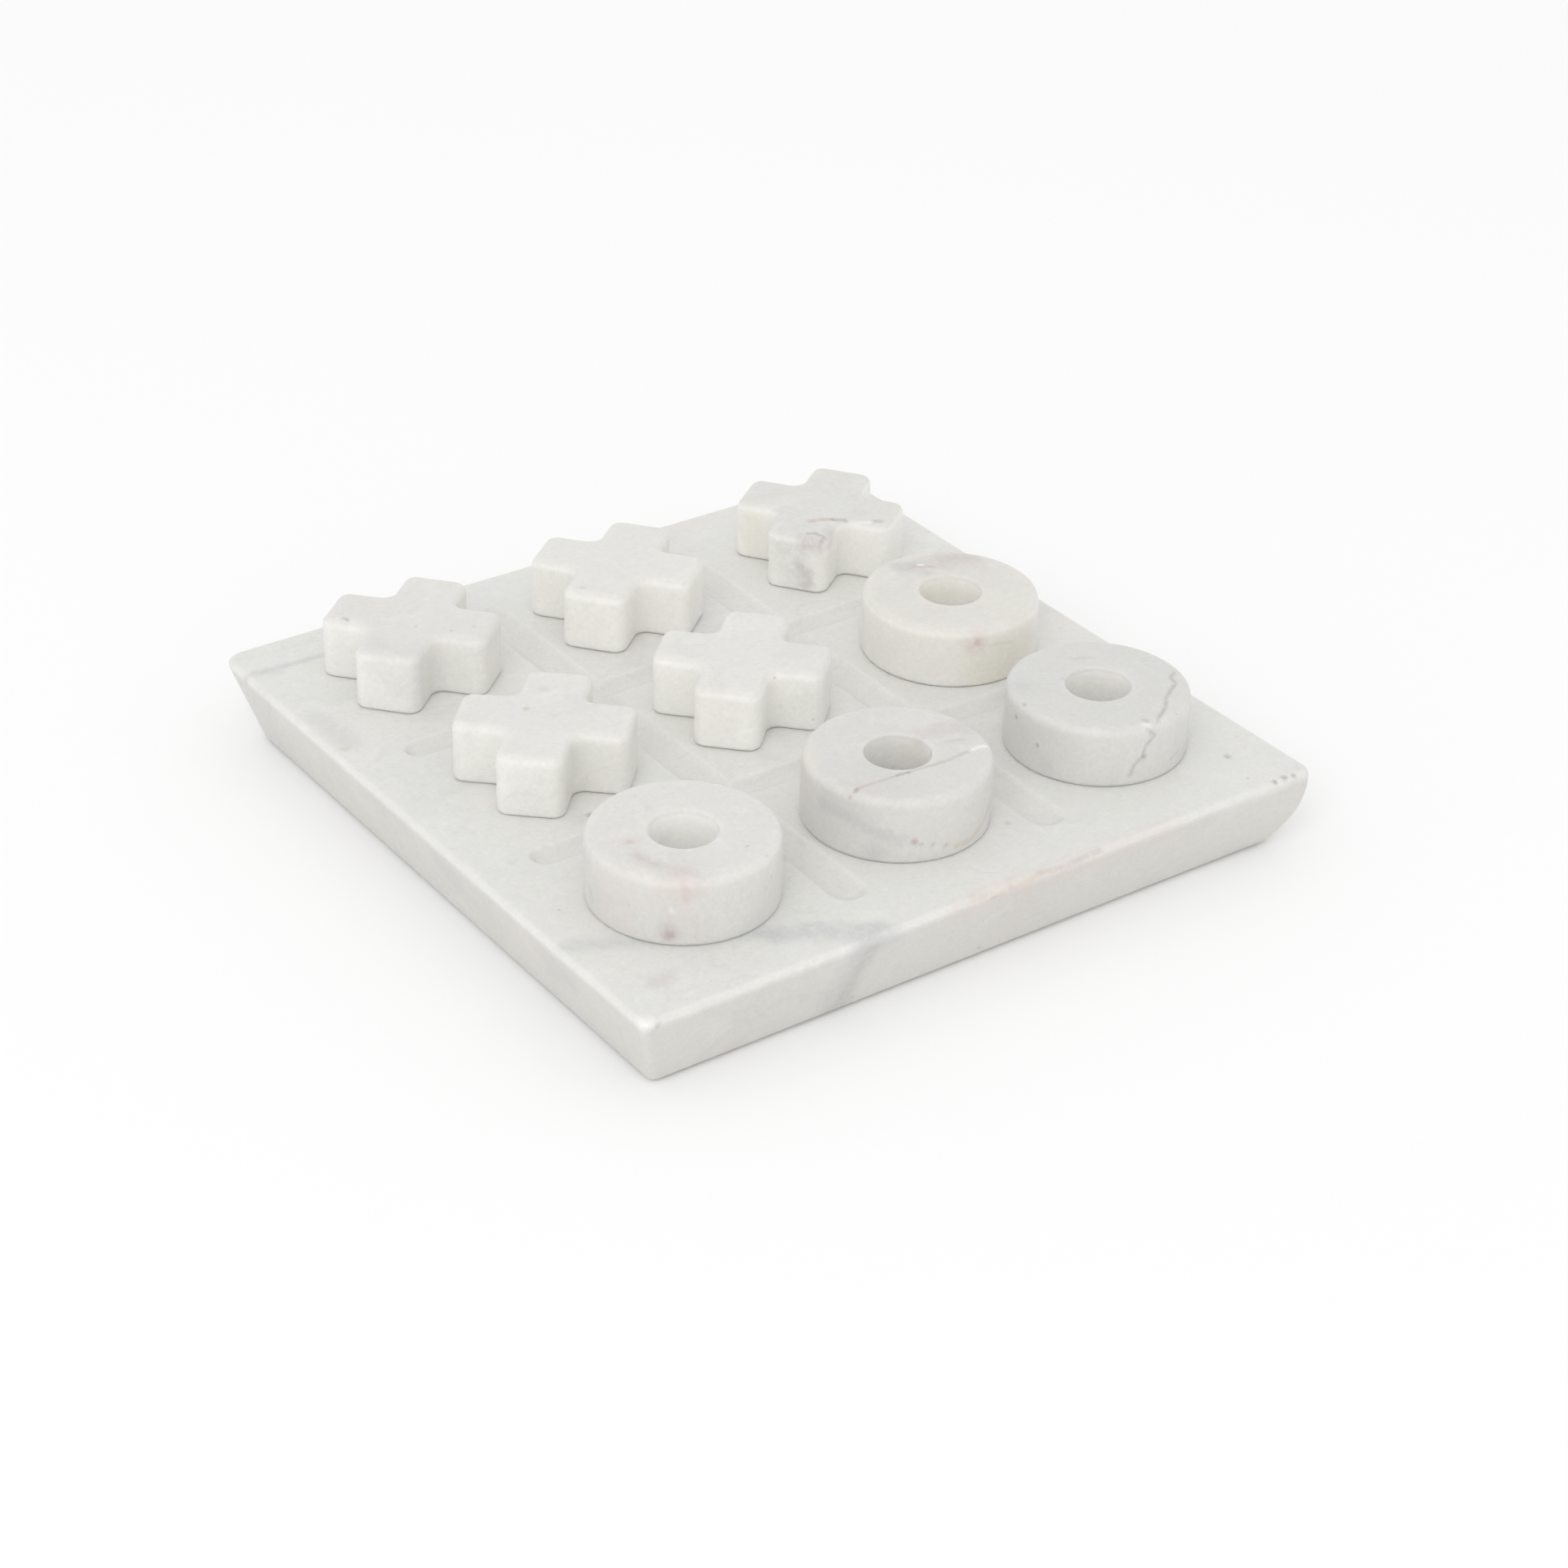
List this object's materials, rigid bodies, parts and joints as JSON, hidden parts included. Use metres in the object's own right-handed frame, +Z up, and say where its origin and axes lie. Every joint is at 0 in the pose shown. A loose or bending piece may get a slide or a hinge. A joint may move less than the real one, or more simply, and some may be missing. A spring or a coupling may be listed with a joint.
{
  "type": "tic tac toe set",
  "caption": "Square white marble tic tac toe board with a grooved grid, thick cross pieces and thick ring pieces, all loose and standing in its cells.",
  "frame": {"origin": "middle of the board's footprint, on the plane that the pads under the board stand on", "axes": "+Z up; +X along the board's front right side, from the front corner to the right corner; +Y along its front left side, from the front corner to the left corner"},
  "size_m": [0.199, 0.199, 0.0398],
  "materials": {
    "board_marble": "honed white marble with faint grey veins",
    "o_marble": "honed white marble with grey and brown marks",
    "x_marble": "honed warm white marble",
    "felt": "thin pressed felt"
  },
  "bodies": {
    "board": {"board": "board_marble", "pad_front": "felt", "pad_right": "felt", "pad_left": "felt", "pad_back": "felt"},
    "o_front": {"o_front": "o_marble"},
    "o_front_right": {"o_front_right": "o_marble"},
    "o_right": {"o_right": "o_marble"},
    "o_back_right": {"o_back_right": "o_marble"},
    "x_front_left": {"x_front_left": "x_marble"},
    "x_centre": {"x_centre": "x_marble"},
    "x_left": {"x_left": "x_marble"},
    "x_back_left": {"x_back_left": "x_marble"},
    "x_back": {"x_back": "x_marble"}
  },
  "joints": [
    {"name": "lift_o_front", "type": "slide", "parent": "board", "child": "o_front", "axis": [0, 0, 1], "range_m": [0, 0.06]},
    {"name": "lift_o_front_right", "type": "slide", "parent": "board", "child": "o_front_right", "axis": [0, 0, 1], "range_m": [0, 0.06]},
    {"name": "lift_o_right", "type": "slide", "parent": "board", "child": "o_right", "axis": [0, 0, 1], "range_m": [0, 0.06]},
    {"name": "lift_o_back_right", "type": "slide", "parent": "board", "child": "o_back_right", "axis": [0, 0, 1], "range_m": [0, 0.06]},
    {"name": "lift_x_front_left", "type": "slide", "parent": "board", "child": "x_front_left", "axis": [0, 0, 1], "range_m": [0, 0.06]},
    {"name": "lift_x_centre", "type": "slide", "parent": "board", "child": "x_centre", "axis": [0, 0, 1], "range_m": [0, 0.06]},
    {"name": "lift_x_left", "type": "slide", "parent": "board", "child": "x_left", "axis": [0, 0, 1], "range_m": [0, 0.06]},
    {"name": "lift_x_back_left", "type": "slide", "parent": "board", "child": "x_back_left", "axis": [0, 0, 1], "range_m": [0, 0.06]},
    {"name": "lift_x_back", "type": "slide", "parent": "board", "child": "x_back", "axis": [0, 0, 1], "range_m": [0, 0.06]}
  ]
}
